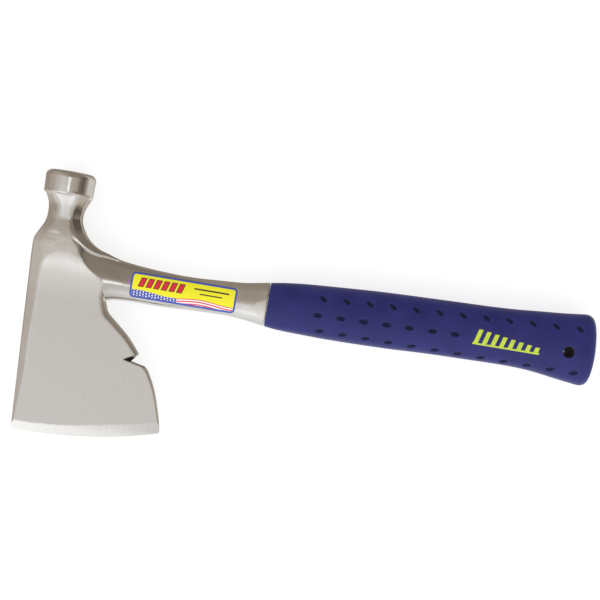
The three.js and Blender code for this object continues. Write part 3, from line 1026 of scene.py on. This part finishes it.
def build_steel():
    """The forging, with a fine grid over the head and shank and a coarser one along the tang."""
    step = STEEL_STEP
    xs = spread([(-16.2, step), (80, step * 1.15), (128, 2.4), (272, 1.0), (290, 1.0)])
    ys = spread([(-97.2, step), (58.6, step)])
    upper = spread([(0, step * 0.9), (15.6, step)])
    zs = np.concatenate([-upper[:0:-1], upper])
    corner, faces = surface_mesh(forging, xs, ys, zs)
    piece = make_piece("forging", corner, faces, "forged_steel", forging)
    worn, out = convexity(forging, corner)
    paint(piece, "worn", worn)
    paint(piece, "ground", ground_part(corner, out))
    # Where the notch's walls get painted shade.
    paint(piece, "notch_shade", notch_shade_part(corner))
    paint(piece, "bevel", bevel_part(corner, out))
    piece.data.materials.append(steel_material())


def build_grip():
    """The moulded sleeve."""
    step = GRIP_STEP
    xs = spread([(124.9, step), (318.6, step)])
    ys = spread([(-18.6, step), (27.8, step)])
    zs = spread([(-15.2, step), (15.2, step)])
    corner, faces = surface_mesh(grip_field, xs, ys, zs)
    piece = make_piece("grip_sleeve", corner, faces, "grip", grip_field)
    worn, _ = convexity(grip_field, corner)
    paint(piece, "worn", worn)
    depth = -grip_oval(*corner.T)
    # The dimples' depth, which the material turns into painted shade and a rougher finish.
    paint(piece, "pit", np.where(corner[:, 0] < LAST_DIMPLE_X, np.clip(depth / 0.7, 0, 1), 0))
    piece.data.materials.append(grip_material())


def draped(x, y, field, start, side, lift):
    """Corners and faces of a thin closed skin over the field, from a grid of x and y places."""
    rows, columns = x.shape
    z = surface_height(field, x.ravel(), y.ravel(), start)
    base = np.stack([x.ravel(), y.ravel(), z], axis=1)
    out = gradient(field, base)
    mirror = np.array([1, 1, side])
    corner = np.concatenate([base + lift * out, base - SKIN_SINK * out]) * mirror
    index = np.arange(rows * columns).reshape(rows, columns)
    top = np.stack([index[:-1, :-1], index[:-1, 1:], index[1:, 1:], index[1:, :-1]], axis=-1)
    top = top.reshape(-1, 4)
    rim = np.concatenate([index[0, :-1], index[:-1, -1], index[-1, :0:-1], index[:0:-1, 0]])
    after = np.roll(rim, -1)
    under = rows * columns
    walls = np.stack([rim, rim + under, after + under, after], axis=1)
    faces = np.concatenate([top, top[:, ::-1] + under, walls])
    return corner, faces if side > 0 else faces[:, ::-1]


def build_label():
    """The vinyl patch on the front of the shank, with round corners."""
    left, right, corner = LABEL["left"], LABEL["right"], LABEL["corner"]
    bow = corner * (1 - np.cos(np.linspace(0, math.pi / 2, 9)))
    middle = np.linspace(left + corner, right - corner, 90)[1:-1]
    x = np.concatenate([left + bow, middle, right - bow[::-1]])
    from_end = np.minimum(x - left, right - x)
    short = np.maximum(corner - from_end, 0)
    cut = corner - np.sqrt(corner ** 2 - short ** 2)
    part = np.linspace(0, 1, 28)[:, None]
    y = (LABEL["bottom"] + cut) * (1 - part) + (LABEL["top"] - cut) * part
    x = np.broadcast_to(x, y.shape)
    place, faces = draped(x, y, shank_oval, ABOVE_SHANK_Z, 1, LABEL_LIFT)
    piece = make_piece("label_patch", place, faces, "shank_label")
    piece.data.materials.append(label_material())


def mark_stripe():
    """Grid of places for the thin stripe that the bars stand on."""
    length = MARK["bars"] * MARK["pitch"] - 1
    return np.meshgrid(np.linspace(MARK["left"], MARK["left"] + length, 80),
                       MARK["base"] + np.linspace(0, MARK["stripe"], 4))


def mark_bar(bar):
    """Grid of places for one slanted bar of the mark."""
    part = bar / (MARK["bars"] - 1)
    height = MARK["tallest"] + part * (MARK["shortest"] - MARK["tallest"])
    up = np.linspace(0, 1, 14)[:, None]
    across = np.linspace(0, MARK["bar"], 6)[None, :]
    slant = MARK["slant"] * height / MARK["tallest"] * up
    x = MARK["left"] + bar * MARK["pitch"] + 0.5 + across + slant
    y = np.broadcast_to(MARK["base"] + MARK["stripe"] + height * up, x.shape)
    return x, y


def build_mark(name, node_name, side):
    """A row of slanted bars that grow shorter, standing on one thin stripe."""
    grids = [mark_stripe()] + [mark_bar(bar) for bar in range(MARK["bars"])]
    patches = [draped(x, y, grip_oval, ABOVE_GRIP_Z, side, MARK_LIFT) for x, y in grids]
    counts = np.cumsum([0] + [len(corner) for corner, _ in patches])
    corner = np.concatenate([corner for corner, _ in patches])
    faces = np.concatenate([faces + count for (_, faces), count in zip(patches, counts)])
    piece = make_piece(name, corner, faces, node_name)
    piece.data.materials.append(mark_material())


build_steel()
build_grip()
build_label()
build_mark("mark_front", "grip_mark_front", 1)
build_mark("mark_back", "grip_mark_back", -1)


# ---------------------------------------------------------------- floor and camera

# The camera's turn about the view, and its distance, the width it sees and its centre, in mm
ROLL = math.radians(9.5)
DISTANCE = 900
VIEW_WIDTH = 351
VIEW_CENTRE = np.array([143.8, 5.9, 0])
SENSOR_WIDTH = 36

# In metres
FLOOR_HALF_SIZE = 3.0
CLIP_END = 20


def build_floor():
    """A wide flat floor, which glossy reflections don't see."""
    r = FLOOR_HALF_SIZE
    mesh = bpy.data.meshes.new("floor")
    mesh.from_pydata([(-r, -r, 0), (r, -r, 0), (r, r, 0), (-r, r, 0)], [], [(0, 1, 2, 3)])
    mesh.materials.append(floor_material())
    floor = bpy.data.objects.new("floor", mesh)
    bpy.context.scene.collection.objects.link(floor)
    floor.visible_glossy = False


def build_camera():
    """Straight above the hatchet, rolled so that the handle falls away to the lower right."""
    data = bpy.data.cameras.new("camera")
    data.sensor_width = SENSOR_WIDTH
    data.lens = SENSOR_WIDTH * DISTANCE / VIEW_WIDTH
    data.clip_end = CLIP_END
    camera = bpy.data.objects.new("camera", data)
    bpy.context.scene.collection.objects.link(camera)
    camera.location = (VIEW_CENTRE + SHIFT + np.array([0, 0, DISTANCE])) * MM
    camera.rotation_euler = (0, 0, ROLL)
    bpy.context.scene.camera = camera


# ---------------------------------------------------------------- studio light

def ramp(tree, sine, *stops):
    """A smooth run of levels over an angle given by its sine, from stops (degrees, level)."""
    angle = calc(tree, "ARCSINE", sine)
    made = node(tree, "ValToRGB", {0: calc(tree, "MULTIPLY_ADD", angle, 1 / math.pi, 0.5)})
    made.color_ramp.interpolation = "EASE"
    elements = made.color_ramp.elements
    for degrees, _ in stops[2:]:
        elements.new(0.5 + degrees / 180)
    for element, (degrees, level) in zip(elements, stops):
        element.position = 0.5 + degrees / 180
        element.color = (level, level, level, 1)
    return made.outputs[0]


def bright_side(tree, x, y):
    """Levels over the horizon on the blade's side, which is -y."""
    along = ramp(tree, x, (-90, 0.33), (-76, 0.36), (-58, 0.5), (-41, 0.62), (-30, 0.8), (-22, 0.85),
                 (-9, 0.8), (-2, 0.64), (12, 0.55), (26, 0.53), (41, 0.42), (57, 0.18), (68, 0.10),
                 (76, 0.10), (84, 0.2), (90, 0.35))
    across = ramp(tree, y, (-90, 1.12), (-60, 1.12), (-46, 1.28), (-34, 1.28), (-18, 1.05),
                  (-6, 1.0), (0, 1.0))
    return calc(tree, "MULTIPLY", along, across)


def dark_side(tree, x, y):
    """Levels over the horizon on the poll's side, which is +y."""
    along = ramp(tree, x, (-90, 0.36), (-75, 0.36), (-48, 0.46), (-28, 0.42), (-14, 0.37), (-9, 0.39),
                 (-5, 0.3), (0, 0.27), (12, 0.27), (40, 0.24), (58, 0.12), (74, 0.11), (84, 0.22),
                 (90, 0.34))
    across = ramp(tree, y, (0, 1.3), (4, 1.2), (12, 0.95), (40, 0.95), (70, 0.78), (90, 0.75))
    return calc(tree, "MULTIPLY", along, across)


def over_horizon(tree, x, y):
    """The two sides, and one narrow bright strip that starts overhead."""
    to_dark = remap(tree, y, -0.04, 0.015, 0.0, 1.0)
    sides = between_two(tree, to_dark, bright_side(tree, x, y), dark_side(tree, x, y))
    strip_x = ramp(tree, x, (-3, 0.0), (0, 1.0), (8, 1.0), (12, 0.0))
    strip_y = ramp(tree, y, (-4, 0.0), (-2.2, 1.0), (-0.4, 1.0), (0.8, 0.0))
    return calc(tree, "MULTIPLY_ADD", strip_x, strip_y, sides)


def under_horizon(tree, x, y):
    """One level for each side, mixed by how far the direction leans that way."""
    side_x = remap(tree, x, 0.15, 0.5, 0.34, 0.68)
    side_y = remap(tree, y, -0.015, 0.01, 0.85, 0.27)
    lean_x = calc(tree, "MULTIPLY", x, x)
    lean_y = calc(tree, "MULTIPLY", y, y)
    least = remap(tree, x, -0.02, 0.04, 0.03, 0.001)
    lean_all = calc(tree, "ADD", calc(tree, "ADD", lean_x, lean_y), least)
    return between_two(tree, calc(tree, "DIVIDE", lean_x, lean_all), side_y, side_x)


def build_world():
    """The studio round the hatchet.

    Polished steel mirrors its levels, which are bright towards -y and dark and warm towards +y.
    Matt surfaces are lit by an even sky, brighter from -y.
    """
    world = bpy.data.worlds.new("studio")
    bpy.context.scene.world = world
    world.use_nodes = True
    tree = world.node_tree
    split = node(tree, "SeparateXYZ", {0: node(tree, "TexCoord").outputs["Generated"]}).outputs
    x, y, z = split[0], split[1], split[2]

    sink = remap(tree, z, 0.0, -0.25, 0.0, 1.0)
    level = between_two(tree, sink, over_horizon(tree, x, y), under_horizon(tree, x, y))
    tint = mix(tree, remap(tree, level, 0.15, 0.9, 0.0, 1.0), (1.15, 0.96, 0.76, 1),
               (1.0, 1.0, 0.98, 1))
    reflected = node(tree, "VectorMath", {0: tint, 1: level}, operation="MULTIPLY").outputs[0]
    sky = ramp(tree, y, (-90, 1.9), (-30, 1.5), (0, 0.95), (45, 0.65), (90, 0.6))
    path = node(tree, "LightPath").outputs
    lit = mix(tree, path["Is Glossy Ray"], sky, reflected)
    color = mix(tree, path["Is Camera Ray"], lit, (0.98, 0.98, 0.98, 1))
    background = tree.nodes["Background"]
    tree.links.new(color, background.inputs["Color"])
    background.inputs["Strength"].default_value = 1.0


build_floor()
build_camera()
build_world()
bpy.context.scene.view_settings.view_transform = "Standard"
